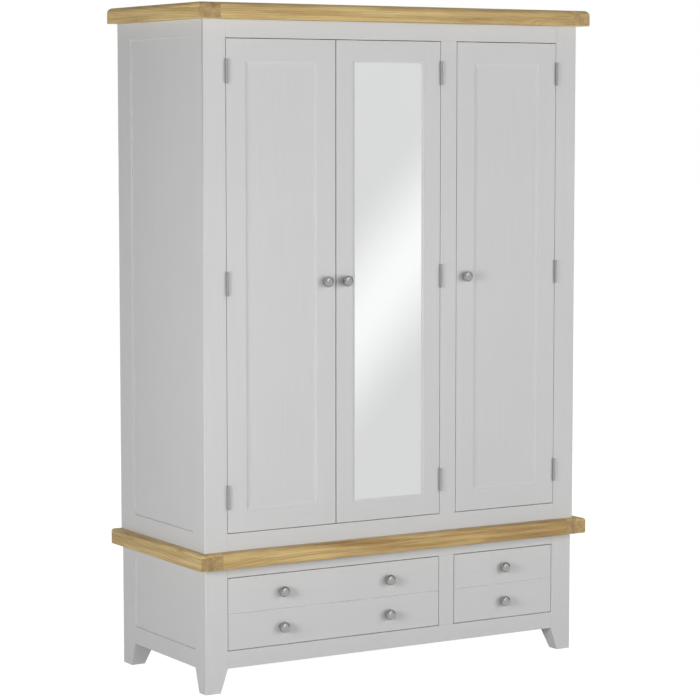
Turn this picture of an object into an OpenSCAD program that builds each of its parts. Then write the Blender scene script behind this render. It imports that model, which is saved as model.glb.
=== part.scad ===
// Painted triple wardrobe in two cases, with oak tops, three inset doors and two drawers.
// The origin is the middle of the footprint, on the floor. The front faces -Y, +X is right and +Z is up.

/* [Cases] */
// Height from the floor to the top of the oak
total_h = 1950; // [1900:1:2000]
// Width of the upper case
case_w = 1276; // [1240:1:1320]
// Depth of the upper case
case_d = 532; // [500:1:580]
// Height from the floor to the underside of the waist slab
lower_h = 361; // [350:1:380]
// How far the lower case is set in at its front and its sides
lower_inset = 4; // [0:1:8]

/* [Oak slabs] */
// Thickness of the top slab and of the waist slab
slab_t = 46; // [36:1:50]
// Overhang of a slab past the upper case at each side
slab_side = 27; // [20:1:35]
// Overhang of a slab at the front
slab_front = 31; // [28:1:40]
// Overhang of a slab at the back
slab_rear = 12; // [5:1:15]
// Width of the end boards, whose grain runs front to back
end_board_w = 70; // [50:1:90]
// Radius of the upper edge of the top slab
top_round = 14; // [6:1:18]
// Radius of the upper edge of the waist slab
waist_round = 7; // [4:1:18]
// Radius of the lower edge of both slabs
slab_ease = 3; // [1:0.5:4]

/* [Face frame] */
// Width of the corner posts of the upper case
post_w = 73; // [65:1:80]
// Width of the mullion beside the mirror door
mullion_w = 55; // [48:1:60]
// Height of the top rail
top_rail_h = 51; // [44:1:60]
// Height of the bottom rail
bottom_rail_h = 50; // [44:1:60]
// Thickness of the face frame boards
frame_t = 22; // [20:1:25]
// Radius of the outer arris of the corner posts and legs
arris_r = 3; // [1:0.5:5]

/* [Side frames] */
// Thickness of the side frames
side_t = 20; // [18:1:22]
// Width of the front stile, seen from the side
side_front_w = 68; // [60:1:76]
// Width of the rear stile
side_rear_w = 84; // [70:1:90]
// Height of the top rail of an upper side frame
side_top_h = 48; // [40:1:60]
// Height of the bottom rail of an upper side frame
side_bottom_h = 53; // [40:1:60]
// Recess of the side panels behind the frames
side_recess = 5; // [3:1:7]

/* [Doors] */
// Thickness of the doors
door_t = 20; // [18:1:20]
// Gap round each door and drawer front
gap = 2; // [2:0.5:3]
// Gap between the left door and the mirror door, which meet without a post
meeting_gap = 3.5; // [2:0.5:4]
// Width of the flat face of a door stile or rail
door_frame_w = 62; // [52:1:66]
// Width of the flat face of the mirror door's stiles and rails
mirror_frame_w = 55; // [52:1:66]
// Width of the hollow moulding round a door panel
mould_w = 13; // [8:0.5:14]
// Width of the hollow moulding round the mirror
mirror_mould_w = 8; // [6:0.5:10]
// Recess of the door panels behind the face
door_recess = 3.5; // [3:0.5:8]
// Recess of the mirror behind the face
mirror_recess = 3; // [2.5:0.5:7]
// Distance of a door knob from the closing edge
knob_inset = 31; // [28:1:34]
// Height of the door knobs above the middle of the door
knob_raise = 7; // [0:1:15]

/* [Hinges] */
// Length of a butt hinge
hinge_len = 65; // [50:1:80]
// Distance from the top of the door to the middle of the top hinge
hinge_top_inset = 91; // [80:1:130]
// Distance from the bottom of the door to the middle of the bottom hinge
hinge_low_inset = 102; // [80:1:130]
// Height of the middle hinge above the middle of the door
hinge_raise = 11; // [0:1:20]
// Outer radius of the knuckles
knuckle_r = 3.8; // [3.5:0.1:4]
// Radius of the hinge pins
pin_r = 2; // [1.5:0.1:2.2]

/* [Drawers and legs] */
// Height of the rail over the drawers
drawer_rail_h = 31; // [26:1:40]
// Height of the rail under the drawers
foot_rail_h = 50; // [40:1:60]
// Height of the open foot below the bottom rail
foot_h = 69; // [60:1:80]
// How far a leg tapers on its two inner faces
foot_taper = 23; // [10:1:30]
// Width of a leg and lower post on the front
leg_w = 71; // [60:1:80]
// Depth of a front leg, seen from the side
leg_front_d = 63; // [55:1:70]
// Depth of a rear leg, seen from the side
leg_rear_d = 80; // [65:1:84]
// Width of the divider between the drawers
divider_w = 52; // [46:1:58]
// Height of the drawer sides
drawer_side_h = 170; // [120:1:180]

/* [Hidden] */

$fn = 48;
paint = [0.77, 0.77, 0.765];
oak = [0.77, 0.66, 0.44];
nickel = [0.62, 0.61, 0.60];
board = [0.86, 0.83, 0.76];

// Overall box
over_w = case_w + 2 * slab_side;
over_d = case_d + slab_front + slab_rear;
// Front and back planes of the two cases
front_y = slab_front - over_d / 2;
back_y = front_y + case_d;
low_front_y = front_y + lower_inset;
// Half widths of the cases and of the drawer openings' outer limits
half_w = case_w / 2;
low_half_w = half_w - lower_inset;
// Levels
waist_z = lower_h + slab_t;
top_z = total_h - slab_t;
door_low_z = waist_z + bottom_rail_h;
door_high_z = top_z - top_rail_h;
drawer_low_z = foot_h + foot_rail_h;
drawer_high_z = lower_h - drawer_rail_h;
door_h = door_high_z - door_low_z - 2 * gap;
door_mid_z = (door_low_z + door_high_z) / 2;

// Doors: all three have the same width
door_w = (case_w - 2 * post_w - mullion_w - 4 * gap - meeting_gap) / 3;
left_x = post_w - half_w;
right_x = half_w - post_w;
mullion_x = left_x + 2 * door_w + 2 * gap + meeting_gap;
left_door_x = left_x + gap;
mirror_door_x = left_door_x + door_w + meeting_gap;
right_door_x = right_x - gap - door_w;
door_back_y = front_y + door_t;

// Drawers: the left opening is twice as wide as the right one
drawer_left_x = leg_w - low_half_w;
drawer_right_x = low_half_w - leg_w;
right_opening_w = (drawer_right_x - drawer_left_x - divider_w) / 3;
left_opening_w = 2 * right_opening_w;
divider_x = drawer_left_x + left_opening_w;
right_opening_x = divider_x + divider_w;

// Boards and fits
groove = 8;           // depth of the grooves that hold the panels
panel_t = 8;          // thickness of the side panels
door_panel_t = 6;     // thickness of the door panels
glass_t = 4;          // thickness of the mirror
back_t = 8;           // thickness of the backs
partition_t = 18;     // thickness of the partitions
floor_t = 18;         // thickness of the floor boards
rebate = 10;          // rebate in the rear stiles for the back
side_gap = 1;         // play of a drawer box in its opening, each side
lift = 0.6;           // play between a drawer and its runners
groove_w = 3;         // width of the groove across a drawer front
board_groove = 2.4;   // size of the V between two back boards
back_boards = 12;     // boards across the whole back

rail_r = 12.5;                       // hanging rail
rail_z = top_z - 105;
rail_y = (front_y + back_y) / 2;
socket_r = 21;
socket_t = 11;

axis_y = front_y - knuckle_r - 0.3;  // hinge axis, just clear of the faces
leaf_t = 0.9;
leaf_d = 17;                         // width of a leaf in the gap
knuckles = 5;
knuckle_play = 0.3;
bore_play = 0.05;                    // radial play of a pin in the door's knuckles
screw_r = 1.6;
screw_play = 0.1;                    // play of a screw in its hole, all round
screw_head_r = 3;
screw_depth = 14;
screw_in = 0.6 * leaf_d;             // distance of the screws behind the face
screw_dz = [-0.3, 0.3] * hinge_len;
hinge_zs = [door_low_z + gap + hinge_low_inset, door_mid_z + hinge_raise,
            door_high_z - gap - hinge_top_inset];

knob_r = 16;
knob_proj = 26;
door_knob_z = door_mid_z + knob_raise;

// Board between two corners
module block(low, high) { translate(low) cube(high - low); }

// Mirror copies about the middle plane
module both_sides() { children(); mirror([1, 0, 0]) children(); }

// Oak

// Whole slab from z up, with its upper edges rounded to radius r
module slab(z, r) {
    intersection() {
        translate([0, over_d / 2, z]) rotate([90, 0, 0]) linear_extrude(over_d) slab_profile(over_w, r);
        translate([-over_w / 2, 0, z]) rotate([90, 0, 90]) linear_extrude(over_w) slab_profile(over_d, r);
    }
}

// Cross-section of a slab of width w: radius r above and slab_ease below
module slab_profile(w, r) {
    translate([-w / 2, slab_ease]) square([w, slab_t - r - slab_ease]);
    translate([-w / 2 + slab_ease, 0]) square([w - 2 * slab_ease, slab_t - r]);
    translate([-w / 2 + r, 0]) square([w - 2 * r, slab_t]);
    for (s = [-1, 1]) {
        translate([s * (w / 2 - r), slab_t - r]) circle(r);
        translate([s * (w / 2 - slab_ease), slab_ease]) circle(slab_ease);
    }
}

module slab_middle(z, r) {
    x = over_w / 2 - end_board_w;
    intersection() {
        slab(z, r);
        block([-x, -over_d, z - 1], [x, over_d, z + slab_t + 1]);
    }
}

module slab_ends(z, r) {
    x = over_w / 2 - end_board_w;
    both_sides() intersection() {
        slab(z, r);
        block([x, -over_d, z - 1], [over_w, over_d, z + slab_t + 1]);
    }
}

module top_board() { color(oak) slab_middle(top_z, top_round); }
module top_end_boards() { color(oak) slab_ends(top_z, top_round); }
module waist_board() { color(oak) slab_middle(lower_h, waist_round); }
module waist_end_boards() { color(oak) slab_ends(lower_h, waist_round); }

// Upper case

// Square with its corner at the origin rounded
module arris_square(w, d) {
    translate([arris_r, 0]) square([w - arris_r, d]);
    translate([0, arris_r]) square([w, d - arris_r]);
    translate([arris_r, arris_r]) circle(arris_r);
}

// Space of the side panel, with its tongues, in a frame whose outer face is at x
module side_panel_space(x, y1, y2, z1, z2, play) {
    block([x + side_recess, y1 - groove + play, z1 - groove + play],
          [x + side_recess + panel_t, y2 + groove - play, z2 + groove - play]);
}

panel_y1 = front_y + side_front_w;
panel_y2 = back_y - side_rear_w;
panel_z1 = waist_z + side_bottom_h;
panel_z2 = top_z - side_top_h;

module upper_panel_space(play) {
    side_panel_space(-half_w, panel_y1, panel_y2, panel_z1, panel_z2, play);
}

// Pilot hole for a screw, along +X or -X by the sign s
module screw_hole(s) { rotate([0, s * 90, 0]) cylinder(h = screw_depth, r = screw_r + screw_play); }

// Places of the two screws of each hinge in a leaf
module at_screws(x) {
    for (z = hinge_zs, dz = screw_dz) translate([x, front_y + screw_in, z + dz]) children();
}

module front_posts() {
    color(paint) {
        difference() {
            front_post();
            at_screws(left_x) screw_hole(-1);
        }
        difference() {
            mirror([1, 0, 0]) front_post();
            at_screws(right_x) screw_hole(1);
        }
    }
}

module front_post() {
    difference() {
        translate([-half_w, front_y, waist_z]) linear_extrude(top_z - waist_z) {
            arris_square(post_w, frame_t);
            translate([0, frame_t / 2]) square([side_t, side_front_w - frame_t / 2]);
        }
        upper_panel_space(0);
    }
}

module rear_stiles() {
    color(paint) both_sides() difference() {
        block([-half_w, panel_y2, waist_z], [side_t - half_w, back_y, top_z]);
        upper_panel_space(0);
        block([rebate - half_w, back_y - back_t, 0], [0, back_y + 1, total_h]);
    }
}

module upper_side_rails() {
    color(paint) both_sides() difference() {
        for (z = [[waist_z, panel_z1], [panel_z2, top_z]])
            block([-half_w, panel_y1, z[0]], [side_t - half_w, panel_y2, z[1]]);
        upper_panel_space(0);
    }
}

module upper_side_panels() { color(paint) both_sides() upper_panel_space(0.5); }

module face_top_rail() {
    color(paint) block([left_x, front_y, door_high_z], [right_x, front_y + frame_t, top_z]);
}

module face_bottom_rail() {
    color(paint) block([left_x, front_y, waist_z], [right_x, front_y + frame_t, door_low_z]);
}

module mullion() {
    color(paint) difference() {
        block([mullion_x, front_y, door_low_z], [mullion_x + mullion_w, front_y + frame_t, door_high_z]);
        at_screws(mullion_x) screw_hole(1);
    }
}

partition_x = mullion_x + (mullion_w - partition_t) / 2;
back_front_y = back_y - back_t;

module partition() {
    color(board)
        block([partition_x, front_y + frame_t, waist_z], [partition_x + partition_t, back_front_y, top_z]);
}

// The two bays inside the upper case, as [left, right]
BAYS = [[side_t - half_w, partition_x], [partition_x + partition_t, half_w - side_t]];

module floor_boards() {
    color(board) for (b = BAYS)
        block([b[0], front_y + frame_t, door_low_z - floor_t], [b[1], back_front_y, door_low_z]);
}

// Boarded back between x1 and x2 with V grooves on its outer face
module boarded_back(x1, x2, y, z1, z2, t, count) {
    pitch = (x2 - x1) / count;
    difference() {
        block([x1, y - t, z1], [x2, y, z2]);
        for (i = [1:count - 1])
            translate([x1 + i * pitch, y, z1 - 1]) rotate(45)
                translate([-board_groove / 2, -board_groove / 2])
                    cube([board_groove, board_groove, z2 - z1 + 2]);
    }
}

module upper_back() {
    seam = partition_x + partition_t / 2;
    x = half_w - rebate;
    color(board) {
        boarded_back(-x, seam - 0.2, back_y, waist_z, top_z, back_t, back_boards / 2 + 2);
        boarded_back(seam + 0.2, x, back_y, waist_z, top_z, back_t, back_boards / 2 - 2);
    }
}

module hanging_rails() {
    color(nickel) for (b = BAYS) translate([b[0] + 2, rail_y, rail_z]) rotate([0, 90, 0])
        difference() {
            cylinder(h = b[1] - b[0] - 4, r = rail_r);
            translate([0, 0, -1]) cylinder(h = b[1] - b[0], r = rail_r - 1.5);
        }
}

// Cup that holds one end of a rail: s points into the bay
module rail_socket(x, s) {
    translate([x, rail_y, rail_z]) rotate([0, s * 90, 0]) difference() {
        union() {
            cylinder(h = 2, r = socket_r);
            cylinder(h = socket_t, r = rail_r + 2.5);
        }
        translate([0, 0, 2]) cylinder(h = socket_t, r = rail_r);
        for (a = [90, 270]) rotate(a) translate([socket_r - 3.4, 0, -1]) cylinder(h = 4, r = screw_r);
    }
}

module rail_sockets() {
    color(nickel) for (b = BAYS) { rail_socket(b[0], 1); rail_socket(b[1], -1); }
}

catch_w = 44;
catch_d = 14;
plate_w = 32;
// Middle of each catch, near the closing edge of its door
CATCH_X = [left_door_x + door_w - 60, mirror_door_x + 60, right_door_x + 60];

module door_catches() {
    color(board) for (x = CATCH_X) difference() {
        block([x - catch_w / 2, front_y + frame_t, door_high_z - 17],
              [x + catch_w / 2, front_y + frame_t + catch_d, door_high_z + 20]);
        for (s = [-1, 1]) translate([x + s * 14, front_y + frame_t - 1, door_high_z + 12])
            rotate([-90, 0, 0]) cylinder(h = catch_d + 2, r = screw_r);
    }
}

module catch_plate(i) {
    color(nickel) difference() {
        block([CATCH_X[i] - plate_w / 2, door_back_y, door_high_z - 16],
              [CATCH_X[i] + plate_w / 2, door_back_y + 1, door_high_z - 4]);
        translate([CATCH_X[i], door_back_y - 1, door_high_z - 10]) rotate([-90, 0, 0])
            cylinder(h = 3, r = screw_r);
    }
}

// Hinges

pitch_z = hinge_len / knuckles;

// One leaf and its screws at the origin of a hinge axis, with the leaf on the side s of the gap.
// Knuckles k, k + 2 and so on belong to it, bored to radius r.
module hinge_leaf(s, k, r) {
    x1 = s > 0 ? gap / 2 - leaf_t : -gap / 2;
    face = front_y - axis_y;
    difference() {
        union() {
            block([x1, face + 0.1, -hinge_len / 2], [x1 + leaf_t, face + leaf_d, hinge_len / 2]);
            for (i = [k:2:knuckles - 1]) translate([0, 0, i * pitch_z - hinge_len / 2]) {
                translate([0, 0, knuckle_play / 2]) cylinder(h = pitch_z - knuckle_play, r = knuckle_r);
                block([x1, pin_r + 0.6, knuckle_play / 2],
                      [x1 + leaf_t, face + 0.2, pitch_z - knuckle_play / 2]);
            }
        }
        translate([0, 0, -hinge_len]) cylinder(h = 2 * hinge_len, r = r);
        leaf_screws(s, screw_play);
    }
}

// Countersunk screws of a leaf, or their holes when play is given. The heads are flush in the gap.
module leaf_screws(s, play) {
    face = front_y - axis_y;
    for (dz = screw_dz) translate([s * (gap / 2 - leaf_t), face + screw_in, dz]) rotate([0, s * 90, 0]) {
        cylinder(h = screw_depth - 1, r = screw_r + play);
        cylinder(h = leaf_t, r1 = screw_head_r + play, r2 = screw_r + play);
    }
}

module hinge_set(x, s, k, r) {
    for (z = hinge_zs) translate([x, axis_y, z]) {
        hinge_leaf(s, k, r);
        leaf_screws(s, 0);
    }
}

left_axis_x = left_x + gap / 2;
mirror_axis_x = mullion_x - gap / 2;
right_axis_x = right_x - gap / 2;

module frame_hinges() {
    color(nickel) {
        hinge_set(left_axis_x, -1, 0, pin_r);
        hinge_set(mirror_axis_x, 1, 0, pin_r);
        hinge_set(right_axis_x, 1, 0, pin_r);
    }
}

module hinge_pins() {
    color(nickel) for (x = [left_axis_x, mirror_axis_x, right_axis_x], z = hinge_zs)
        translate([x, axis_y, z - hinge_len / 2]) {
            cylinder(h = hinge_len, r = pin_r);
            for (end = [0, 1]) translate([0, 0, end * hinge_len]) mirror([0, 0, 1 - end])
                rotate_extrude() intersection() {
                    circle(knuckle_r - 0.4);
                    square([knuckle_r, knuckle_r * 0.6]);
                }
        }
}

// Doors

// A door frame is described by [width of its flat face, width of its moulding, recess of its panel, thickness
// of the groove for the panel]. The mirror sits in a rebate that is open at the back instead of a groove.
PANELLED = [door_frame_w, mould_w, door_recess, door_panel_t];
MIRRORED = [mirror_frame_w, mirror_mould_w, mirror_recess, door_t];

// Distance from the edge of a door to the inner edge of its moulding
function infill_edge(f) = f[0] + f[1];

mould_step = 0.6;   // step down from the flat face to the moulding
mould_lip = 0.6;    // edge between the moulding and the panel
mould_strips = 6;   // strips across the hollow of the moulding
door_z = door_low_z + gap;

// Cut of the moulding across an opening of width w. Along each edge it leaves a step and then a hollow, a
// parabola in flat strips that ends level with the panel's face.
module mould_profile(w, f) {
    depth = f[2] - mould_lip;
    hollow = [for (i = [0:mould_strips]) let (u = 1 - i / mould_strips)
        [f[1] * (1 - u), depth - (depth - mould_step) * u * u]];
    other_side = [for (i = [mould_strips:-1:0]) [w - hollow[i][0], hollow[i][1]]];
    polygon(concat([[w, -1], [0, -1]], hollow, other_side));
}

// Opening of frame f, with its corner at the origin and the face at y = 0. The mitres of the moulding come
// from the two crossing profiles.
module framed_opening(w, h, f) {
    inner_w = w - 2 * f[1];
    inner_h = h - 2 * f[1];
    intersection() {
        linear_extrude(h) mould_profile(w, f);
        translate([w, 0, 0]) rotate([0, -90, 0]) linear_extrude(w) mould_profile(h, f);
    }
    translate([f[1], 1, f[1]]) cube([inner_w, door_t, inner_h]);
    translate([f[1] - groove, f[2], f[1] - groove])
        cube([inner_w + 2 * groove, f[3], inner_h + 2 * groove]);
}

module door_opening(x, f) {
    translate([x + f[0], front_y, door_z + f[0]]) framed_opening(door_w - 2 * f[0], door_h - 2 * f[0], f);
}

// A door board between two corners, given from the door's lower left corner
module door_board(x, x1, x2, z1, z2) {
    block([x + x1, front_y, door_z + z1], [x + x2, door_back_y, door_z + z2]);
}

// The stiles run the whole height of the door and keep the moulding between the rails.
// hinge_side is -1 or 1.
module door_stiles(x, f, hinge_side) {
    e = infill_edge(f);
    color(paint) difference() {
        union() {
            for (x1 = [0, door_w - f[0]]) door_board(x, x1, x1 + f[0], 0, door_h);
            for (x1 = [f[0], door_w - e]) door_board(x, x1, x1 + f[1], e, door_h - e);
        }
        door_opening(x, f);
        at_screws(hinge_side < 0 ? x : x + door_w) screw_hole(-hinge_side);
        knob_hole(hinge_side < 0 ? x + door_w - knob_inset : x + knob_inset);
    }
}

module door_rails(x, f) {
    e = infill_edge(f);
    color(paint) difference() {
        for (z1 = [0, door_h - e]) door_board(x, f[0], door_w - f[0], z1, z1 + e);
        door_opening(x, f);
    }
}

infill_play = 0.5;   // play of a panel or mirror in its groove, all round

// Board or sheet in door frame f, from depth y1 to depth y2 behind the face
module door_infill(x, f, y1, y2) {
    inset = infill_edge(f) - groove + infill_play;
    block([x + inset, front_y + y1, door_z + inset],
          [x + door_w - inset, front_y + y2, door_z + door_h - inset]);
}

module door_panel(x) { color(paint) door_infill(x, PANELLED, door_recess, door_recess + door_panel_t); }

// Knobs

knob_screw_r = 2;
rose_r = 11.5;
rose_t = 3;
neck_r = 5.5;
head_rim_r = 12;   // radius of the rounded rim of the head
head_back = 8;     // length of the head behind the middle of its rim
rim_y = knob_proj - head_rim_r;

module knob_hole(x) {
    translate([x, front_y - 1, door_knob_z]) rotate([-90, 0, 0]) cylinder(h = door_t + 2, r = knob_screw_r);
}

// Knob on a face at height zero, with its fixing screw through a board of thickness t
module knob(t) {
    rotate_extrude() difference() {
        union() {
            square([rose_r - 1.5, rose_t]);
            square([rose_r, rose_t - 1.5]);
            translate([rose_r - 1.5, rose_t - 1.5]) circle(1.5);
            square([neck_r, rim_y]);
            translate([0, rim_y - head_back]) square([knob_r - head_rim_r, head_back + head_rim_r]);
            translate([knob_r - head_rim_r, rim_y]) intersection() {
                circle(head_rim_r);
                translate([-head_rim_r, -head_back]) square([2 * head_rim_r, head_back + head_rim_r]);
            }
        }
        translate([-knob_r, -1]) square([knob_r, knob_proj + knob_r]);
    }
    translate([0, 0, -t]) cylinder(h = t, r = knob_screw_r);
    translate([0, 0, -t - 1.6]) cylinder(h = 1.6, r = 4);
}

module knob_at(x, y, z, t) { color(nickel) translate([x, y, z]) rotate([90, 0, 0]) knob(t); }

module left_door_stiles() { door_stiles(left_door_x, PANELLED, -1); }
module left_door_rails() { door_rails(left_door_x, PANELLED); }
module left_door_panel() { door_panel(left_door_x); }
module left_door_knob() { knob_at(left_door_x + door_w - knob_inset, front_y, door_knob_z, door_t); }
module left_door_hinges() { color(nickel) hinge_set(left_axis_x, 1, 1, pin_r + bore_play); }
module left_catch_plate() { catch_plate(0); }

module mirror_door_stiles() { door_stiles(mirror_door_x, MIRRORED, 1); }
module mirror_door_rails() { door_rails(mirror_door_x, MIRRORED); }
module mirror_glass() {
    color([0.85, 0.87, 0.88])
        door_infill(mirror_door_x, MIRRORED, mirror_recess, mirror_recess + glass_t);
}
module mirror_backing() {
    color(board) door_infill(mirror_door_x, MIRRORED, mirror_recess + glass_t, door_t);
}
module mirror_door_knob() { knob_at(mirror_door_x + knob_inset, front_y, door_knob_z, door_t); }
module mirror_door_hinges() { color(nickel) hinge_set(mirror_axis_x, -1, 1, pin_r + bore_play); }
module mirror_catch_plate() { catch_plate(1); }

module right_door_stiles() { door_stiles(right_door_x, PANELLED, 1); }
module right_door_rails() { door_rails(right_door_x, PANELLED); }
module right_door_panel() { door_panel(right_door_x); }
module right_door_knob() { knob_at(right_door_x + knob_inset, front_y, door_knob_z, door_t); }
module right_door_hinges() { color(nickel) hinge_set(right_axis_x, -1, 1, pin_r + bore_play); }
module right_catch_plate() { catch_plate(2); }

// Lower case

// Foot and post of width w and depth d, with its outer corner at the origin. Its front
// outline and its side outline cross, so it tapers on both inner faces.
module tapered_leg(w, d) {
    intersection() {
        translate([0, d, 0]) rotate([90, 0, 0]) linear_extrude(d) leg_outline(w);
        rotate([90, 0, 90]) linear_extrude(w) leg_outline(d);
        linear_extrude(lower_h) arris_square(w, d);
    }
}

// Outline with its straight outer edge on the vertical axis
module leg_outline(w) { polygon([[0, 0], [w - foot_taper, 0], [w, foot_h], [w, lower_h], [0, lower_h]]); }

low_panel_z1 = foot_h + foot_rail_h + 2;
low_panel_z2 = lower_h - drawer_rail_h - 2;
low_panel_y1 = low_front_y + leg_front_d;
low_panel_y2 = back_y - leg_rear_d;
low_back_inset = 8;
low_back_y = back_y - low_back_inset;
rear_leg_w = 66;

module lower_panel_space(play) {
    side_panel_space(-low_half_w, low_panel_y1, low_panel_y2, low_panel_z1, low_panel_z2, play);
}

// Groove in the rear legs for the back panel
module lower_back_space(play) {
    x = low_half_w - rear_leg_w + groove - play;
    block([-x, low_back_y - back_t, foot_h], [x, low_back_y, lower_h]);
}

module front_legs() {
    color(paint) both_sides() difference() {
        translate([-low_half_w, low_front_y, 0]) tapered_leg(leg_w, leg_front_d);
        lower_panel_space(0);
    }
}

module rear_legs() {
    color(paint) both_sides() difference() {
        translate([-low_half_w, back_y, 0]) mirror([0, 1, 0]) tapered_leg(rear_leg_w, leg_rear_d);
        lower_panel_space(0);
        lower_back_space(0);
    }
}

module lower_side_rails() {
    color(paint) both_sides() difference() {
        for (z = [[foot_h, low_panel_z1], [low_panel_z2, lower_h]])
            block([-low_half_w, low_panel_y1, z[0]], [side_t - low_half_w, low_panel_y2, z[1]]);
        lower_panel_space(0);
    }
}

module lower_side_panels() { color(paint) both_sides() lower_panel_space(0.5); }

module lower_top_rail() {
    color(paint) block([drawer_left_x, low_front_y, drawer_high_z],
                       [drawer_right_x, low_front_y + frame_t, lower_h]);
}

module lower_bottom_rail() {
    color(paint) block([drawer_left_x, low_front_y, foot_h],
                       [drawer_right_x, low_front_y + frame_t, drawer_low_z]);
}

module drawer_divider() {
    color(paint) block([divider_x, low_front_y, drawer_low_z],
                       [divider_x + divider_w, low_front_y + frame_t, drawer_high_z]);
}

low_partition_x = divider_x + (divider_w - partition_t) / 2;
low_inside_y = low_front_y + frame_t;
low_inside_back = low_back_y - back_t;

module lower_partition() {
    color(board) block([low_partition_x, low_inside_y, foot_h + dust_t],
                       [low_partition_x + partition_t, low_inside_back, lower_h]);
}

dust_t = 12;

// Between the rails and the legs, with its corners cut round the legs
module dust_board() {
    x = low_half_w - side_t;
    color(board) difference() {
        block([-x, low_inside_y, foot_h], [x, low_inside_back, foot_h + dust_t]);
        both_sides() {
            block([-x - 1, low_inside_y - 1, 0], [drawer_left_x, low_panel_y1, lower_h]);
            block([-x - 1, low_panel_y2, 0], [rear_leg_w - low_half_w, back_y, lower_h]);
        }
    }
}

module lower_back() { color(board) lower_back_space(0.5); }

// Each drawer opening, as [left, right]
DRAWERS = [[drawer_left_x, divider_x], [right_opening_x, drawer_right_x]];
runner_w = 30;
runner_h = 24;

// A runner under each side of each drawer, level with the bottom rail
module drawer_runners() {
    color(board) for (d = DRAWERS, x = [d[0], d[1] - runner_w])
        block([x, low_inside_y, drawer_low_z - runner_h], [x + runner_w, low_inside_back, drawer_low_z]);
}

// Guides that fill the space beside the drawers, between the legs at the sides
module drawer_guides() {
    z1 = drawer_low_z;
    z2 = z1 + 40;
    outer = low_half_w - side_t;
    color(board) {
        block([-outer, low_panel_y1, z1], [drawer_left_x, low_panel_y2, z2]);
        block([divider_x, low_inside_y, z1], [low_partition_x, low_inside_back, z2]);
        block([low_partition_x + partition_t, low_inside_y, z1], [right_opening_x, low_inside_back, z2]);
        block([drawer_right_x, low_panel_y1, z1], [outer, low_panel_y2, z2]);
    }
}

// Drawers

drawer_front_t = 22;
drawer_board_t = 12;
drawer_bottom_t = 6;
drawer_bottom_z = drawer_low_z + 14;
drawer_front_y = low_front_y + drawer_front_t;
drawer_box_z = drawer_low_z + lift;
drawer_box_back = low_inside_back - 2;
drawer_groove = 5;
knob_rows = [0.25, 0.75];

// Outside of a drawer box, as [left, right]
function box_x(i) = [DRAWERS[i][0] + side_gap, DRAWERS[i][1] - side_gap];

// Knobs stand at the middle of each half of the front's height
function knob_z(row) = drawer_low_z + gap + row * (drawer_high_z - drawer_low_z - 2 * gap);
function knob_x(i, part) = DRAWERS[i][0] + part * (DRAWERS[i][1] - DRAWERS[i][0]);

// Space of the bottom of a drawer in the grooves of its front and sides
module drawer_bottom_space(i, play) {
    x = box_x(i);
    block([x[0] + drawer_board_t - drawer_groove + play, drawer_front_y - drawer_groove + play,
           drawer_bottom_z],
          [x[1] - drawer_board_t + drawer_groove - play, drawer_box_back, drawer_bottom_z + drawer_bottom_t]);
}

module drawer_front(i, parts) {
    mid_z = (drawer_low_z + drawer_high_z) / 2;
    color(paint) difference() {
        block([DRAWERS[i][0] + gap, low_front_y, drawer_low_z + gap],
              [DRAWERS[i][1] - gap, drawer_front_y, drawer_high_z - gap]);
        translate([DRAWERS[i][0], low_front_y, mid_z]) rotate([45, 0, 0])
            translate([0, -groove_w / 2, -groove_w / 2])
                cube([left_opening_w, groove_w, groove_w]);
        drawer_bottom_space(i, 0);
        for (p = parts, row = knob_rows) translate([knob_x(i, p), low_front_y - 1, knob_z(row)])
            rotate([-90, 0, 0]) cylinder(h = drawer_front_t + 2, r = knob_screw_r);
    }
}

module drawer_sides(i) {
    x = box_x(i);
    color(board) difference() {
        for (x1 = [x[0], x[1] - drawer_board_t])
            block([x1, drawer_front_y, drawer_box_z],
                  [x1 + drawer_board_t, drawer_box_back, drawer_box_z + drawer_side_h]);
        drawer_bottom_space(i, 0);
    }
}

// The back stands on the bottom, so that the bottom slides in under it
module drawer_back(i) {
    x = box_x(i);
    color(board)
        block([x[0] + drawer_board_t, drawer_box_back - drawer_board_t, drawer_bottom_z + drawer_bottom_t],
              [x[1] - drawer_board_t, drawer_box_back, drawer_box_z + drawer_side_h - 6]);
}

module drawer_bottom(i) { color(board) drawer_bottom_space(i, 0.5); }

module drawer_knobs(i, parts) {
    for (p = parts, row = knob_rows) knob_at(knob_x(i, p), low_front_y, knob_z(row), drawer_front_t);
}

left_parts = [0.25, 0.75];
right_parts = [0.5];

module left_drawer_front() { drawer_front(0, left_parts); }
module left_drawer_sides() { drawer_sides(0); }
module left_drawer_back() { drawer_back(0); }
module left_drawer_bottom() { drawer_bottom(0); }
module left_drawer_knobs() { drawer_knobs(0, left_parts); }
module right_drawer_front() { drawer_front(1, right_parts); }
module right_drawer_sides() { drawer_sides(1); }
module right_drawer_back() { drawer_back(1); }
module right_drawer_bottom() { drawer_bottom(1); }
module right_drawer_knobs() { drawer_knobs(1, right_parts); }

top_board();
top_end_boards();
front_posts();
rear_stiles();
upper_side_rails();
upper_side_panels();
face_top_rail();
face_bottom_rail();
mullion();
partition();
floor_boards();
upper_back();
hanging_rails();
rail_sockets();
door_catches();
frame_hinges();
hinge_pins();
waist_board();
waist_end_boards();
front_legs();
rear_legs();
lower_top_rail();
lower_bottom_rail();
drawer_divider();
lower_side_rails();
lower_side_panels();
lower_partition();
dust_board();
lower_back();
drawer_runners();
drawer_guides();
left_door_stiles();
left_door_rails();
left_door_panel();
left_door_knob();
left_door_hinges();
left_catch_plate();
mirror_door_stiles();
mirror_door_rails();
mirror_glass();
mirror_backing();
mirror_door_knob();
mirror_door_hinges();
mirror_catch_plate();
right_door_stiles();
right_door_rails();
right_door_panel();
right_door_knob();
right_door_hinges();
right_catch_plate();
left_drawer_front();
left_drawer_sides();
left_drawer_back();
left_drawer_bottom();
left_drawer_knobs();
right_drawer_front();
right_drawer_sides();
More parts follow.
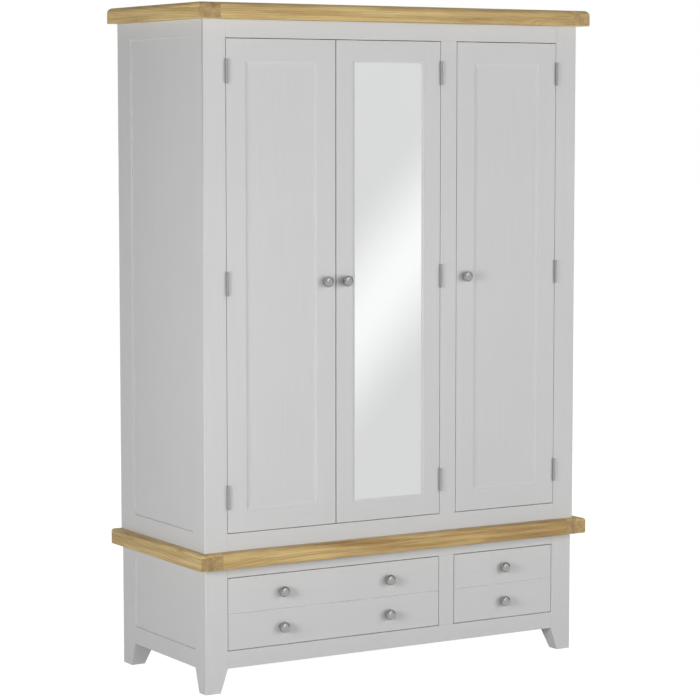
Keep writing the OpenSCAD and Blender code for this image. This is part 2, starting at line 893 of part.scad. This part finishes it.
right_drawer_back();
right_drawer_bottom();
right_drawer_knobs();
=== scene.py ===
import math

import bmesh
import bpy
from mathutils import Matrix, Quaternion, Vector


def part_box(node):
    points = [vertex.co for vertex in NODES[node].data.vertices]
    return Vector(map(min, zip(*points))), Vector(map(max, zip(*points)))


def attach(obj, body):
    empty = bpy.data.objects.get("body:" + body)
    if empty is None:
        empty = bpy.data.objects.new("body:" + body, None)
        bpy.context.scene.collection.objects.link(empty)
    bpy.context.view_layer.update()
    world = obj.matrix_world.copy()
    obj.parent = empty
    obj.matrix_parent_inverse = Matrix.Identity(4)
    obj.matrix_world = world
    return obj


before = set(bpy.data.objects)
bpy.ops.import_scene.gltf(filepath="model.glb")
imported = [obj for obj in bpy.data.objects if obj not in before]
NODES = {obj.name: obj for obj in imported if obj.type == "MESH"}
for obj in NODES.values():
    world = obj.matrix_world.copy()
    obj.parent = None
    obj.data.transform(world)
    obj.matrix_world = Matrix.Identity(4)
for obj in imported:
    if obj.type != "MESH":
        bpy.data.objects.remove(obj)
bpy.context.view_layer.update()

MM = 0.001
X, Y, Z = 0, 1, 2

# Camera: it stands to the left of the front, at eye height, and looks slightly down
CAMERA_PLACE = Vector((-3.967, -6.568, 1.643))
CAMERA_TURN = math.radians(31.10)
CAMERA_DROP = math.radians(5.285)
CAMERA_LENS = 131.6

# Colours, in linear light. The first of each pair is the lighter tone of the grain.
PAINT_LIGHT = (0.634, 0.634, 0.634)
PAINT_DARK = (0.610, 0.610, 0.610)
OAK_LIGHT = (0.745, 0.562, 0.250)
OAK_DARK = (0.290, 0.160, 0.048)
OAK_KNOT = (0.190, 0.090, 0.035)
BOARD_LIGHT = (0.640, 0.520, 0.360)
BOARD_DARK = (0.500, 0.375, 0.235)
DRAWER_LIGHT = (0.690, 0.560, 0.370)
DRAWER_DARK = (0.540, 0.400, 0.230)


# Shader building

def rgba(colour):
    return (*colour, 1.0)


class Shader:
    """A new material with short calls for the nodes that the recipes below use."""

    def __init__(self, name):
        self.material = bpy.data.materials.new(name)
        self.material.use_nodes = True
        self.tree = self.material.node_tree
        self.surface = self.tree.nodes["Principled BSDF"]
        self.coordinates = self.node("ShaderNodeTexCoord")
        self.place = self.coordinates.outputs["Object"]

    def node(self, kind, **settings):
        made = self.tree.nodes.new(kind)
        for name, value in settings.items():
            setattr(made, name, value)
        return made

    def put(self, value, socket):
        """Links an output to a socket, or sets the socket's number, vector or colour."""
        if isinstance(value, bpy.types.NodeSocket):
            self.tree.links.new(value, socket)
        elif isinstance(value, tuple) and socket.type == "RGBA":
            socket.default_value = rgba(value)
        else:
            socket.default_value = value

    def math(self, operation, *values, clamp=False):
        made = self.node("ShaderNodeMath", operation=operation, use_clamp=clamp)
        for value, socket in zip(values, made.inputs):
            self.put(value, socket)
        return made.outputs[0]

    def vector(self, operation, *values):
        made = self.node("ShaderNodeVectorMath", operation=operation)
        for value, socket in zip(values, made.inputs):
            self.put(value, socket)
        return made.outputs["Value" if operation in ("DOT_PRODUCT", "LENGTH", "DISTANCE") else "Vector"]

    def split(self, vector):
        made = self.node("ShaderNodeSeparateXYZ")
        self.put(vector, made.inputs[0])
        return made.outputs[0], made.outputs[1], made.outputs[2]

    def join(self, x, y, z):
        made = self.node("ShaderNodeCombineXYZ")
        for value, socket in zip((x, y, z), made.inputs):
            self.put(value, socket)
        return made.outputs[0]

    def noise(self, place, scale, detail=2.0, rough=0.5):
        """Noise from 0 to 1. The scale is in waves per metre along each coordinate."""
        made = self.node("ShaderNodeTexNoise")
        self.put(self.vector("MULTIPLY", place, scale), made.inputs["Vector"])
        made.inputs["Scale"].default_value = 1.0
        made.inputs["Detail"].default_value = detail
        made.inputs["Roughness"].default_value = rough
        return made.outputs["Fac"]

    def band(self, value, low, high, out_low=0.0, out_high=1.0):
        """Smooth step of a value from low to high."""
        made = self.node("ShaderNodeMapRange", interpolation_type="SMOOTHSTEP")
        for number, socket in zip((value, low, high, out_low, out_high), made.inputs):
            self.put(number, socket)
        return made.outputs[0]

    def mix(self, factor, a, b, blend="MIX"):
        made = self.node("ShaderNodeMix", data_type="RGBA", blend_type=blend)
        for name, value in (("Factor_Float", factor), ("A_Color", a), ("B_Color", b)):
            self.put(value, next(s for s in made.inputs if s.identifier == name))
        return next(s for s in made.outputs if s.identifier == "Result_Color")

    def bump(self, height, distance, strength=1.0):
        """Raises the surface by height times distance."""
        made = self.node("ShaderNodeBump")
        made.inputs["Strength"].default_value = strength
        made.inputs["Distance"].default_value = distance
        self.put(height, made.inputs["Height"])
        self.put(made.outputs[0], self.surface.inputs["Normal"])

    def set(self, **values):
        """Sets sockets of the Principled shader, with _ for a space in their names."""
        for name, value in values.items():
            self.put(value, self.surface.inputs[name.replace("_", " ")])


def along_grain(s, axis):
    """Coordinates with the grain's direction first."""
    parts = s.split(s.place)
    return s.join(parts[axis], *[parts[i] for i in (X, Y, Z) if i != axis])


# Materials

def painted(axis):
    """Satin paint on a board: the grain and the brush show faintly through it."""
    s = Shader("paint_" + "xyz"[axis])
    place = along_grain(s, axis)
    cloud = s.noise(s.place, (3.0, 3.0, 3.0), detail=3.0)
    streak = s.noise(place, (5.0, 130.0, 130.0), detail=4.0, rough=0.6)
    fine = s.noise(place, (60.0, 1500.0, 1500.0), detail=2.0)
    tone = s.math("ADD", s.math("MULTIPLY", cloud, 0.5), s.math("MULTIPLY", streak, 0.5))
    s.set(Base_Color=s.mix(s.band(tone, 0.3, 0.7), PAINT_DARK, PAINT_LIGHT))
    s.set(Roughness=s.band(streak, 0.2, 0.8, 0.40, 0.50), IOR=1.46)
    height = s.math("ADD", s.math("MULTIPLY", streak, 0.7), s.math("MULTIPLY", fine, 0.3))
    s.bump(height, 0.12 * MM, 0.6)
    return s.material


# Oak, in metres
HEART_SHIFT = 0.14     # how far the heart moves sideways from stave to stave
HEART_DROP = 0.05      # and downwards
HEART_SLOPE = 0.12     # lean of the heart along the board
RING_WIDTH = 0.0052    # distance between growth rings
RING_WAVER = 0.045     # waviness of the rings
KNOT_BULGE = 0.016     # how far a knot pushes the rings apart
END_GRAIN_TINT = (0.62, 0.58, 0.60)


def oak(name, axis, heart, stave, shade):
    """Lacquered oak as a solid: growth rings round a heart, streaks, pores and a few knots.

    The grain runs along the axis. The heart is a point on the log's centre line, given in the two other
    coordinates. Each stave is cut from another log. A higher shade gives a darker board.
    """
    s = Shader(name)
    along, across, up = s.split(along_grain(s, axis))
    index = s.math("FLOOR", s.math("DIVIDE", across, stave))
    chance = s.node("ShaderNodeTexWhiteNoise", noise_dimensions="1D")
    s.put(index, chance.inputs["W"])
    luck_a, luck_b, luck_c = s.split(chance.outputs["Color"])
    shifted = s.join(s.math("ADD", along, s.math("MULTIPLY", luck_a, 7.0)), across,
                     s.math("ADD", up, s.math("MULTIPLY", luck_b, 3.0)))

    knot = s.node("ShaderNodeTexVoronoi")
    s.put(s.vector("MULTIPLY", shifted, (2.3, 10.0, 10.0)), knot.inputs["Vector"])
    knot.inputs["Scale"].default_value = 1.0
    near_knot = s.band(knot.outputs["Distance"], 0.0, 0.30, 1.0, 0.0)
    in_knot = s.band(knot.outputs["Distance"], 0.035, 0.075, 1.0, 0.0)

    drift = s.noise(shifted, (1.3, 9.0, 9.0), detail=3.0)
    shift = s.math("MULTIPLY", s.math("SUBTRACT", luck_a, 0.5), HEART_SHIFT)
    dv = s.math("ADD", s.math("SUBTRACT", across, heart[0]), shift)
    dw = s.math("ADD", s.math("SUBTRACT", up, heart[1]), s.math("MULTIPLY", luck_b, HEART_DROP))
    slope = s.math("MULTIPLY", s.math("MULTIPLY", s.math("SUBTRACT", luck_c, 0.5), HEART_SLOPE), along)
    radius = s.vector("LENGTH", s.join(s.math("ADD", dv, slope), dw, 0.0))
    radius = s.math("ADD", radius, s.math("MULTIPLY", drift, RING_WAVER))
    radius = s.math("ADD", radius, s.math("MULTIPLY", near_knot, KNOT_BULGE))
    ring = s.math("FRACT", s.math("DIVIDE", radius, RING_WIDTH))
    late = s.math("MULTIPLY", s.band(ring, 0.45, 0.92), s.band(ring, 0.93, 1.0, 1.0, 0.0))

    streak = s.noise(shifted, (3.4, 72.0, 72.0), detail=5.0, rough=0.66)
    broad = s.noise(shifted, (1.7, 18.0, 18.0), detail=3.0)
    fibre = s.noise(shifted, (26.0, 900.0, 900.0), detail=3.0, rough=0.6)
    pits = s.noise(shifted, (34.0, 1300.0, 1300.0), detail=1.0)
    pore = s.math("MULTIPLY", s.band(pits, 0.60, 0.74), late)

    tone = s.math("ADD", s.math("MULTIPLY", s.band(streak, 0.34, 0.68), 0.44),
                  s.math("MULTIPLY", s.band(broad, 0.34, 0.68), 0.34))
    tone = s.math("ADD", tone, s.math("MULTIPLY", late, 0.20))
    tone = s.math("ADD", tone, s.math("MULTIPLY", s.math("SUBTRACT", fibre, 0.5), 0.30))
    tone = s.math("ADD", tone, s.math("MULTIPLY", s.math("SUBTRACT", luck_c, 0.5), 0.28))
    tone = s.math("ADD", tone, s.math("MULTIPLY", near_knot, 0.22))
    tone = s.math("ADD", tone, shade, clamp=True)
    colour = s.mix(tone, OAK_LIGHT, OAK_DARK)
    colour = s.mix(s.math("MULTIPLY", pore, 0.55), colour, OAK_KNOT)
    colour = s.mix(s.math("MULTIPLY", in_knot, 0.8), colour, OAK_KNOT)

    grain_direction = tuple(float(i == axis) for i in (X, Y, Z))
    facing = s.vector("DOT_PRODUCT", s.coordinates.outputs["Normal"], grain_direction)
    end = s.band(s.math("ABSOLUTE", facing), 0.75, 0.98)
    colour = s.mix(s.math("MULTIPLY", end, 0.9), colour, s.mix(1.0, colour, END_GRAIN_TINT, "MULTIPLY"))
    s.set(Base_Color=colour, IOR=1.48)
    s.set(Roughness=s.math("ADD", s.band(streak, 0.2, 0.8, 0.40, 0.50), s.math("MULTIPLY", pore, 0.2)))
    relief = s.math("SUBTRACT", s.math("MULTIPLY", fibre, 0.4), s.math("MULTIPLY", pore, 1.0))
    s.bump(s.math("SUBTRACT", relief, s.math("MULTIPLY", late, 0.4)), 0.25 * MM, 0.7)
    return s.material


def plain_wood(name, axis, light, dark, rough):
    """Pale board with fine straight grain, for the parts that only show when it is open."""
    s = Shader(name)
    place = along_grain(s, axis)
    streak = s.noise(place, (1.8, 45.0, 45.0), detail=4.0, rough=0.6)
    fibre = s.noise(place, (22.0, 800.0, 800.0), detail=3.0, rough=0.6)
    broad = s.noise(place, (0.9, 9.0, 9.0), detail=2.0)
    tone = s.math("ADD", s.math("MULTIPLY", s.band(streak, 0.3, 0.72), 0.55),
                  s.math("MULTIPLY", s.band(broad, 0.3, 0.7), 0.25))
    tone = s.math("ADD", tone, s.math("MULTIPLY", s.math("SUBTRACT", fibre, 0.5), 0.45), clamp=True)
    s.set(Base_Color=s.mix(tone, light, dark), IOR=1.46)
    s.set(Roughness=s.band(fibre, 0.2, 0.8, rough - 0.05, rough + 0.08))
    relief = s.math("ADD", s.math("MULTIPLY", fibre, 0.6), s.math("MULTIPLY", streak, 0.4))
    s.bump(relief, 0.18 * MM, 0.6)
    return s.material


def satin_nickel():
    """Turned and brushed nickel plate."""
    s = Shader("satin_nickel")
    brush = s.noise(s.place, (900.0, 900.0, 3500.0), detail=2.0)
    cloud = s.noise(s.place, (60.0, 60.0, 60.0), detail=2.0)
    s.set(Metallic=1.0, Base_Color=s.mix(cloud, (0.40, 0.40, 0.395), (0.45, 0.45, 0.445)))
    s.set(Roughness=s.band(brush, 0.25, 0.75, 0.17, 0.26))
    s.bump(brush, 0.02 * MM, 0.5)
    return s.material


def chrome():
    """Polished tube with faint drawing lines along X."""
    s = Shader("chrome_tube")
    line = s.noise(s.place, (4.0, 1200.0, 1200.0), detail=2.0)
    s.set(Metallic=1.0, Base_Color=s.mix(line, (0.78, 0.78, 0.78), (0.86, 0.86, 0.86)))
    s.set(Roughness=s.band(line, 0.2, 0.8, 0.08, 0.17))
    s.bump(line, 0.01 * MM, 0.4)
    return s.material


def silvered_glass():
    """Mirror: a faint green tint and hardly visible unevenness of the float glass."""
    s = Shader("silvered_glass")
    haze = s.noise(s.place, (5.0, 5.0, 3.0), detail=3.0)
    s.set(Metallic=1.0, Base_Color=s.mix(haze, (0.925, 0.940, 0.935), (0.945, 0.955, 0.950)))
    s.set(Roughness=s.band(haze, 0.2, 0.8, 0.0, 0.012))
    return s.material


def catch_plastic():
    s = Shader("catch_plastic")
    grain = s.noise(s.place, (700.0, 700.0, 700.0), detail=2.0)
    s.set(Base_Color=s.mix(grain, (0.74, 0.74, 0.72), (0.80, 0.80, 0.78)), IOR=1.49)
    s.set(Roughness=s.band(grain, 0.2, 0.8, 0.36, 0.48))
    s.bump(grain, 0.03 * MM, 0.5)
    return s.material


# One material for each direction of the grain
PAINT = {axis: painted(axis) for axis in (X, Y, Z)}
BOARD = {axis: plain_wood("inner_board_" + "xyz"[axis], axis, BOARD_LIGHT, BOARD_DARK, 0.5)
         for axis in (X, Y, Z)}
DRAWER = {axis: plain_wood("drawer_box_" + "xyz"[axis], axis, DRAWER_LIGHT, DRAWER_DARK, 0.48)
          for axis in (X, Y)}
NICKEL = satin_nickel()
CHROME = chrome()
MIRROR = silvered_glass()
PLASTIC = catch_plastic()


# The CAD nodes: materials and softened edges

LONG_EDGE = 6 * MM

def dress(node, material, edge=0.0, segments=2):
    """Gives a CAD node its material, and rounds its long edges by a radius in millimetres."""
    piece = NODES[node]
    piece.data.materials.clear()
    piece.data.materials.append(material)
    if edge:
        mark_long_edges(piece.data)
        weld = piece.modifiers.new("weld", "WELD")
        weld.merge_threshold = 0.001 * MM
        flat = piece.modifiers.new("flat", "DECIMATE")
        flat.decimate_type = "DISSOLVE"
        flat.angle_limit = math.radians(0.5)
        flat.delimit = {"SHARP"}
        bevel = piece.modifiers.new("edge", "BEVEL")
        bevel.width = edge * MM
        bevel.segments = segments
        bevel.limit_method = "WEIGHT"
        bevel.harden_normals = True


def mark_long_edges(mesh):
    """Marks the edges to round. The mesh is split where it is sharp, so they are its long open edges."""
    faces_at = [0] * len(mesh.edges)
    for corner in mesh.loops:
        faces_at[corner.edge_index] += 1
    weights = mesh.attributes.new("bevel_weight_edge", "FLOAT", "EDGE")
    for edge in mesh.edges:
        a, b = (mesh.vertices[i].co for i in edge.vertices)
        weights.data[edge.index].value = float(faces_at[edge.index] == 1 and (a - b).length > LONG_EDGE)


for node, axis in {
    "front_posts": Z, "rear_stiles": Z, "upper_side_rails": Y, "upper_side_panels": Z,
    "face_top_rail": X, "face_bottom_rail": X, "mullion": Z, "front_legs": Z, "rear_legs": Z,
    "lower_top_rail": X, "lower_bottom_rail": X, "drawer_divider": Z, "lower_side_rails": Y,
    "lower_side_panels": Z,
}.items():
    dress(node, PAINT[axis], 0.8)

for door in ("left_door", "mirror_door", "right_door"):
    dress(door + "_stiles", PAINT[Z], 0.9)
    dress(door + "_rails", PAINT[X], 0.9)
    dress(door + "_knob", NICKEL)
    dress(door + "_hinges", NICKEL)
for door in ("left_door", "right_door"):
    dress(door + "_panel", PAINT[Z])
dress("mirror_glass", MIRROR)
dress("mirror_backing", BOARD[Z], 0.5)

for drawer in ("left_drawer", "right_drawer"):
    dress(drawer + "_front", PAINT[X], 1.0)
    dress(drawer + "_sides", DRAWER[Y], 0.8)
    dress(drawer + "_back", DRAWER[X], 0.8)
    dress(drawer + "_bottom", DRAWER[X])
    dress(drawer + "_knobs", NICKEL)

for node, axis in {
    "partition": Z, "floor_boards": X, "upper_back": Z, "lower_partition": Y,
    "dust_board": X, "lower_back": X, "drawer_runners": Y, "drawer_guides": Y,
}.items():
    dress(node, BOARD[axis], 0.5)

for node in ("frame_hinges", "hinge_pins",
             "left_catch_plate", "mirror_catch_plate", "right_catch_plate"):
    dress(node, NICKEL)
dress("hanging_rails", CHROME)
dress("rail_sockets", CHROME, 0.3)
dress("door_catches", PLASTIC, 0.8)

for board, shade, ends, end_shade in (("top_board", -0.06, "top_end_boards", -0.26),
                                      ("waist_board", 0.08, "waist_end_boards", -0.13)):
    low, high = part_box(board)
    heart_z = low.z - 0.05
    dress(board, oak(board + "_oak", X, (low.y - 0.02, heart_z), 0.096, shade), 0.5)
    dress(ends, oak(ends + "_oak", Y, (low.x - 0.03, heart_z), 0.7, end_shade), 0.5)


# Screw heads on the rail sockets, catches and catch plates

HEAD_SIDES = 32
HEAD_RINGS = 5
RIM_PART = 0.3        # straight rim of a head, as a part of its height
CROSS_REACH = 0.60    # half length of the cross recess, as a part of the head's radius
CROSS_HALF = 0.11     # half width of its arms, as a part of the head's radius
CROSS_DEPTH = 0.7     # depth of the recess, as a part of the head's height


def add_ring(mesh, reach, rise):
    """Adds a circle of vertices."""
    turns = [2 * math.pi * k / HEAD_SIDES for k in range(HEAD_SIDES)]
    return [mesh.verts.new((reach * math.cos(a), reach * math.sin(a), rise)) for a in turns]


def turned_dome(radius, height):
    """Low dome on the plane z = 0, with a short straight rim."""
    mesh = bmesh.new()
    rings = [add_ring(mesh, radius, 0.0)]
    for i in range(HEAD_RINGS):
        turn = 0.5 * math.pi * i / HEAD_RINGS
        rise = height * (RIM_PART + (1.0 - RIM_PART) * math.sin(turn))
        rings.append(add_ring(mesh, radius * math.cos(turn), rise))
    for low, high in zip(rings, rings[1:]):
        for k in range(HEAD_SIDES):
            mesh.faces.new((low[k - 1], low[k], high[k], high[k - 1]))
    mesh.faces.new(list(reversed(rings[0])))
    mesh.faces.new(rings[-1])
    return finished_mesh("dome", mesh)


def cross_cutter(radius, height):
    """Plus-shaped prism that reaches from inside the head to above it."""
    reach, half = CROSS_REACH * radius, CROSS_HALF * radius
    outline = []
    for c, t in ((1, 0), (0, 1), (-1, 0), (0, -1)):
        for u, v in ((half, -half), (reach, -half), (reach, half)):
            outline.append((c * u - t * v, t * u + c * v))
    mesh = bmesh.new()
    low = [mesh.verts.new((x, y, (1.0 - CROSS_DEPTH) * height)) for x, y in outline]
    high = [mesh.verts.new((x, y, 2.0 * height)) for x, y in outline]
    for k in range(len(outline)):
        mesh.faces.new((low[k - 1], low[k], high[k], high[k - 1]))
    mesh.faces.new(list(reversed(low)))
    mesh.faces.new(high)
    return finished_mesh("cross", mesh)


def finished_mesh(name, mesh):
    data = bpy.data.meshes.new(name)
    mesh.to_mesh(data)
    mesh.free()
    return data


def screw_head_mesh(name, radius, height):
    """Dome with the cross cut out of it."""
    head = bpy.data.objects.new("head", turned_dome(radius, height))
    cutter = bpy.data.objects.new("cutter", cross_cutter(radius, height))
    for made in (head, cutter):
        bpy.context.scene.collection.objects.link(made)
    cut = head.modifiers.new("cross", "BOOLEAN")
    cut.operation = "DIFFERENCE"
    cut.object = cutter
    bpy.context.view_layer.update()
    data = bpy.data.meshes.new_from_object(head.evaluated_get(bpy.context.evaluated_depsgraph_get()))
    data.name = name
    for made in (head, cutter):
        bpy.data.objects.remove(made)
    data.materials.clear()
    data.materials.append(NICKEL)
    return data


def add_screw(name, mesh, place, out, turn, body):
    """Puts a screw head at a place, pointing out, with its cross turned by an angle."""
    head = bpy.data.objects.new(name, mesh.copy())
    head.rotation_mode = "QUATERNION"
    head.rotation_quaternion = Vector(out).to_track_quat("Z", "Y") @ Quaternion((0.0, 0.0, 1.0), turn)
    head.location = place
    bpy.context.scene.collection.objects.link(head)
    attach(head, body)


SOCKET_FLANGE = 2 * MM       # thickness of a socket's flange
SOCKET_SCREW = 17.6 * MM     # distance of its screws from the rail's middle line
CATCH_SCREW_X = 14 * MM      # distance of a catch's screws from its middle
CATCH_SCREW_TOP = 8 * MM     # and from its upper edge
TURN_STEP = 0.9              # turn from one screw's cross to the next, in radians

# The plates' heads are flat, because the catches are only a millimetre away when the doors are shut
PAN_HEAD = screw_head_mesh("pan_head", 3.0 * MM, 1.6 * MM)
FLAT_HEAD = screw_head_mesh("flat_head", 2.8 * MM, 0.6 * MM)

sockets_low, sockets_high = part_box("rail_sockets")
wall_low, wall_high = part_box("partition")
rail_middle = sum(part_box("hanging_rails"), Vector()) / 2
screw_count = 0
for x, inward in ((sockets_low.x, 1), (wall_low.x, -1), (wall_high.x, 1), (sockets_high.x, -1)):
    for side in (-1, 1):
        screw_count += 1
        place = (x + inward * SOCKET_FLANGE, rail_middle.y + side * SOCKET_SCREW, rail_middle.z)
        add_screw("socket_screw_%d" % screw_count, PAN_HEAD, place, (inward, 0, 0),
                  TURN_STEP * screw_count, "cabinet")

_, catches_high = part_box("door_catches")
for door in ("left_door", "mirror_door", "right_door"):
    plate_low, plate_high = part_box(door.replace("_door", "") + "_catch_plate")
    middle = (plate_low + plate_high) / 2
    screw_count += 1
    add_screw(door + "_plate_screw", FLAT_HEAD, (middle.x, plate_high.y, middle.z), (0, 1, 0),
              TURN_STEP * screw_count, door)
    for side in (-1, 1):
        screw_count += 1
        place = (middle.x + side * CATCH_SCREW_X, catches_high.y, catches_high.z - CATCH_SCREW_TOP)
        add_screw("catch_screw_%d" % screw_count, PAN_HEAD, place, (0, 1, 0),
                  TURN_STEP * screw_count, "cabinet")


# Stage

def sheet_mesh(name, corners):
    """Flat four-sided mesh."""
    mesh = bpy.data.meshes.new(name)
    mesh.from_pydata([tuple(c) for c in corners], [], [(0, 1, 2, 3)])
    made = bpy.data.objects.new(name, mesh)
    bpy.context.scene.collection.objects.link(made)
    return made


SQUARE = ((-1, -1), (1, -1), (1, 1), (-1, 1))
FLOOR_HALF = 40.0
FLOOR_GRAIN = 1.02    # brightness of the lighter grain of the floor


def add_floor(name, height, grey, glow):
    """Pale floor of a grey, which also glows, so that the shadows on it stay faint."""
    corners = [(a * FLOOR_HALF, b * FLOOR_HALF, height) for a, b in SQUARE]
    floor = sheet_mesh(name, corners)
    s = Shader(name)
    grain = s.noise(s.place, (9.0, 9.0, 9.0), detail=3.0)
    light = FLOOR_GRAIN * grey
    s.set(Base_Color=s.mix(grain, (grey, grey, grey), (light, light, light)), Roughness=0.9)
    s.set(Emission_Color=(1.0, 1.0, 1.0), Emission_Strength=glow)
    s.material.cycles.emission_sampling = "NONE"
    floor.data.materials.append(s.material)
    return floor


# Studio lamps: place, target, size and watts
LAMPS = {
    "left_front": ((-4.0, -2.0, 1.25), (-0.6, 0.0, 1.0), (1.5, 1.4), 107.0),
    "front": ((-1.6, -5.2, 1.4), (0.0, -0.25, 1.0), (2.0, 2.2), 37.0),
    "right_front": ((2.8, -4.2, 1.7), (0.0, -0.25, 1.0), (3.6, 2.8), 104.0),
    "low_front": ((0.5, -4.0, 0.3), (0.0, -0.25, 0.9), (4.5, 0.5), 15.0),
    "right": ((4.6, 0.7, 1.3), (0.66, 0.55, 1.0), (1.5, 1.4), 95.0),
    "back": ((0.5, 4.5, 1.6), (0.0, 0.27, 1.0), (4.0, 2.0), 90.0),
    "top": ((0.0, 1.6, 4.6), (0.0, 0.5, 1.9), (2.4, 2.4), 45.0),
}


def add_lamp(name, place, target, size, watts):
    data = bpy.data.lights.new(name, "AREA")
    data.shape = "RECTANGLE"
    data.size, data.size_y = size
    data.energy = watts
    lamp = bpy.data.objects.new(name, data)
    lamp.location = place
    lamp.rotation_euler = (Vector(target) - Vector(place)).to_track_quat("-Z", "Y").to_euler()
    lamp.visible_camera = False
    lamp.visible_glossy = False
    bpy.context.scene.collection.objects.link(lamp)


# Surroundings: their brightness to matt surfaces, and to shiny ones as lobes over an even glow. A lobe has an
# axis, the cosines between which it grows, and its brightness.
MATT_GLOW = 0.03
GLOSS_GLOW = 0.30
GLOSS_LOBES = (
    ((-0.78, -0.57, 0.25), 0.2, 1.0, 0.40),
    ((0.15, -0.81, 0.56), 0.60, 0.98, 1.20),
)


class World:
    """The studio round the object: white to the camera, faint to matt surfaces, lobes of light to metal."""

    def __init__(self):
        world = bpy.data.worlds.new("studio")
        bpy.context.scene.world = world
        world.use_nodes = True
        self.tree = world.node_tree
        self.tree.nodes.clear()
        self.direction = self.node("ShaderNodeTexCoord").outputs["Generated"]
        rays = self.node("ShaderNodeLightPath").outputs
        gloss = None
        for settings in GLOSS_LOBES:
            gloss = self.lobe(gloss, *settings)
        lit = self.choose(rays["Is Glossy Ray"], self.background(MATT_GLOW), self.background(gloss))
        seen = self.choose(rays["Is Camera Ray"], lit, self.background(1.0))
        self.tree.links.new(seen, self.node("ShaderNodeOutputWorld").inputs["Surface"])

    def node(self, kind, **settings):
        made = self.tree.nodes.new(kind)
        for name, value in settings.items():
            setattr(made, name, value)
        return made

    def lobe(self, under, axis, start, full, strength):
        """Adds brightness that grows smoothly from nothing to the strength towards an axis."""
        dot = self.node("ShaderNodeVectorMath", operation="DOT_PRODUCT")
        self.tree.links.new(self.direction, dot.inputs[0])
        dot.inputs[1].default_value = axis
        step = self.node("ShaderNodeMapRange", interpolation_type="SMOOTHSTEP")
        self.tree.links.new(dot.outputs["Value"], step.inputs["Value"])
        limits = {"From Min": start, "From Max": full, "To Min": 0.0, "To Max": strength}
        for socket, number in limits.items():
            step.inputs[socket].default_value = number
        total = self.node("ShaderNodeMath", operation="ADD")
        self.tree.links.new(step.outputs[0], total.inputs[0])
        if under is None:
            total.inputs[1].default_value = GLOSS_GLOW
        else:
            self.tree.links.new(under, total.inputs[1])
        return total.outputs[0]

    def background(self, strength):
        made = self.node("ShaderNodeBackground")
        made.inputs["Color"].default_value = (1.0, 1.0, 1.0, 1.0)
        if isinstance(strength, bpy.types.NodeSocket):
            self.tree.links.new(strength, made.inputs["Strength"])
        else:
            made.inputs["Strength"].default_value = strength
        return made.outputs[0]

    def choose(self, flag, no, yes):
        made = self.node("ShaderNodeMixShader")
        for source, socket in zip((flag, no, yes), made.inputs):
            self.tree.links.new(source, socket)
        return made.outputs[0]


# Card that the mirror shows
CARD_DISTANCE = 2.9       # from the mirror
CARD_HALF = 1.6           # half width and half height
CARD_GLOW_LOW = 0.725     # glow at the foot and at the head
CARD_GLOW_HIGH = 0.765
BAND_SLOPE = 1.26         # rise of the band across the card
BAND_MIDDLE = 0.887       # height of the band at the card's middle
BAND_FADE = 0.52          # distance over which the band fades on each side
BAND_GLOW = 0.28


def add_reflector():
    """Tall card at the right of the front, seen only in mirrors, with a soft band leaning across it."""
    low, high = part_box("mirror_glass")
    middle = (low + high) / 2
    away = Vector((math.sin(CAMERA_TURN), -math.cos(CAMERA_TURN), 0.0))
    side = Vector((away.y, -away.x, 0.0))
    centre = Vector((middle.x, low.y, CARD_HALF)) + CARD_DISTANCE * away
    corners = [centre + CARD_HALF * (a * side + Vector((0, 0, b))) for a, b in SQUARE]
    card = sheet_mesh("reflector_card", corners)
    s = Shader("reflector_card")
    across = s.vector("DOT_PRODUCT", s.vector("SUBTRACT", s.place, tuple(centre)), tuple(side))
    _, _, height = s.split(s.place)
    lean = s.math("ADD", height, s.math("MULTIPLY", across, BAND_SLOPE))
    rise = s.band(lean, BAND_MIDDLE - BAND_FADE, BAND_MIDDLE, 0.0, 1.0)
    fall = s.band(lean, BAND_MIDDLE, BAND_MIDDLE + BAND_FADE, 1.0, 0.0)
    base = s.band(height, 0.0, 2 * CARD_HALF, CARD_GLOW_LOW, CARD_GLOW_HIGH)
    band = s.math("MULTIPLY", s.math("MULTIPLY", rise, fall), BAND_GLOW)
    s.set(Base_Color=(0.0, 0.0, 0.0), Roughness=1.0, Specular_IOR_Level=0.0)
    s.set(Emission_Color=(1.0, 1.0, 1.0))
    s.set(Emission_Strength=s.math("ADD", base, band))
    s.material.cycles.emission_sampling = "NONE"
    card.data.materials.append(s.material)
    card.visible_camera = False
    card.visible_diffuse = False
    card.visible_shadow = False
    card.visible_transmission = False


def add_camera():
    data = bpy.data.cameras.new("camera")
    data.lens = CAMERA_LENS
    data.sensor_width = 36.0
    camera = bpy.data.objects.new("camera", data)
    camera.location = CAMERA_PLACE
    level = math.cos(CAMERA_DROP)
    forward = Vector((math.sin(CAMERA_TURN) * level, math.cos(CAMERA_TURN) * level, -math.sin(CAMERA_DROP)))
    camera.rotation_euler = forward.to_track_quat("-Z", "Y").to_euler()
    bpy.context.scene.collection.objects.link(camera)
    bpy.context.scene.camera = camera


bpy.context.scene.view_settings.view_transform = "Standard"
add_camera()
World()

# One floor for the camera, one for reflections and one that bounces the lamps' light
seen_floor = add_floor("floor", 0.0, 0.12, 0.99)
seen_floor.visible_diffuse = False
seen_floor.visible_glossy = False
seen_floor.visible_shadow = False
mirrored_floor = add_floor("floor_mirrored", -0.25 * MM, 0.12, CARD_GLOW_LOW)
mirrored_floor.visible_camera = False
mirrored_floor.visible_diffuse = False
mirrored_floor.visible_shadow = False
bounce_floor = add_floor("floor_bounce", -0.5 * MM, 0.45, 0.0)
bounce_floor.visible_camera = False
bounce_floor.visible_glossy = False

add_reflector()
for name, settings in LAMPS.items():
    add_lamp(name, *settings)
